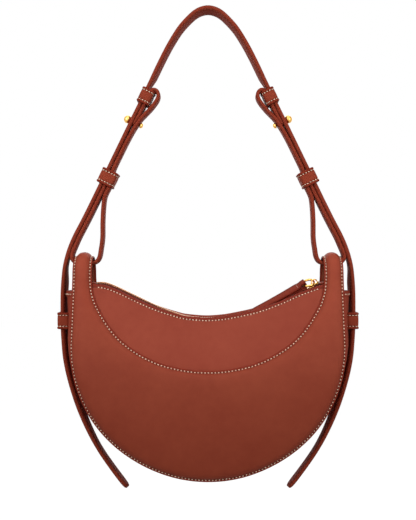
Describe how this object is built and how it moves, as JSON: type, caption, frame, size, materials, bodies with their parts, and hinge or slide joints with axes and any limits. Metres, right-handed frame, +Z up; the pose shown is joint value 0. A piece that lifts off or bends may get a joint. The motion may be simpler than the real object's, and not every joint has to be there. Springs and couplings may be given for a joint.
{
  "type": "half moon shoulder bag",
  "caption": "Half moon leather shoulder bag with padded crescents, a curved top zip, a strap buttoned to side loops by ball studs, sliding keepers and hanging strap tails.",
  "frame": {"origin": "underside of the strap at the middle of its top, where it lies on the shoulder", "axes": "+Z up, the front of the bag faces -Y, the strap spans X"},
  "size_m": [0.3028, 0.0776, 0.4886],
  "materials": {
    "strap_leather": "smooth grained leather, satin, with pale contrast stitching and painted edges",
    "panel_leather": "smooth grained leather, satin",
    "brass": "polished pale gold plating",
    "lining": "fine woven cotton",
    "foam": "soft padding foam",
    "board": "stiffening board",
    "zip_tape": "woven zip tape"
  },
  "bodies": {
    "strap": {"shoulder_strap": "strap_leather", "loop_strap_left": "strap_leather", "loop_strap_right": "strap_leather", "stud_ball_left": "brass", "stud_ball_right": "brass", "stud_post_left": "brass", "stud_post_right": "brass"},
    "bag": {"tail_left": "strap_leather", "tail_right": "strap_leather", "side_keeper_left": "strap_leather", "side_keeper_right": "strap_leather", "front_crescent": "strap_leather", "back_crescent": "strap_leather", "front_padding": "foam", "back_padding": "foam", "arch_left": "strap_leather", "arch_right": "strap_leather", "arch_core_left": "foam", "arch_core_right": "foam", "front_panel": "panel_leather", "back_panel": "panel_leather", "gusset": "panel_leather", "gusset_hem_left": "panel_leather", "gusset_hem_right": "panel_leather", "base_board": "board", "front_lining": "lining", "back_lining": "lining", "gusset_lining": "lining", "slip_pocket": "lining", "front_facing": "panel_leather", "back_facing": "panel_leather", "front_zip_tape": "zip_tape", "back_zip_tape": "zip_tape", "zip_end_left": "panel_leather", "zip_end_right": "panel_leather"},
    "front_teeth": {"front_teeth": "brass"},
    "back_teeth": {"back_teeth": "brass"},
    "slider": {"zip_slider": "brass"},
    "ring": {"pull_ring": "brass"},
    "tab": {"pull_tab": "strap_leather"},
    "lower_keeper_left": {"lower_keeper_left": "strap_leather"},
    "lower_keeper_right": {"lower_keeper_right": "strap_leather"},
    "upper_keeper_left": {"upper_keeper_left": "strap_leather"},
    "upper_keeper_right": {"upper_keeper_right": "strap_leather"}
  },
  "joints": [
    {"name": "bag_swing", "type": "hinge", "parent": "strap", "child": "bag", "pos_m": [0, 0, -0.2686], "axis": [1, 0, 0], "range_deg": [-45, 45]},
    {"name": "zip_run", "type": "hinge", "parent": "bag", "child": "slider", "pos_m": [0, 0, -0.1166], "axis": [0, 1, 0], "range_deg": [0, 36]},
    {"name": "front_teeth_part", "type": "slide", "parent": "bag", "child": "front_teeth", "axis": [0, -1, 0], "range_m": [0, 0.0096], "deforming": ["front_zip_tape"]},
    {"name": "back_teeth_part", "type": "slide", "parent": "bag", "child": "back_teeth", "axis": [0, 1, 0], "range_m": [0, 0.0096], "deforming": ["back_zip_tape"]},
    {"name": "ring_lift", "type": "hinge", "parent": "slider", "child": "ring", "pos_m": [0.10748, 0, -0.27505], "axis": [0, 1, 0], "range_deg": [0, 55]},
    {"name": "tab_lift", "type": "hinge", "parent": "ring", "child": "tab", "pos_m": [0.09717, 0, -0.2756], "axis": [0, 1, 0], "range_deg": [0, 35]},
    {"name": "lower_keeper_left_slide", "type": "slide", "parent": "strap", "child": "lower_keeper_left", "axis": [0.4366, 0, 0.8996], "range_m": [0, 0.008]},
    {"name": "lower_keeper_right_slide", "type": "slide", "parent": "strap", "child": "lower_keeper_right", "axis": [-0.4366, 0, 0.8996], "range_m": [0, 0.008]},
    {"name": "upper_keeper_left_slide", "type": "slide", "parent": "strap", "child": "upper_keeper_left", "axis": [-0.4366, 0, -0.8996], "range_m": [0, 0.003]},
    {"name": "upper_keeper_right_slide", "type": "slide", "parent": "strap", "child": "upper_keeper_right", "axis": [0.4366, 0, -0.8996], "range_m": [0, 0.003]}
  ],
  "couplings": [
    {"joint": "front_teeth_part", "follows": "zip_run", "m_per_rad": 0.01512},
    {"joint": "back_teeth_part", "follows": "zip_run", "m_per_rad": 0.01512}
  ]
}
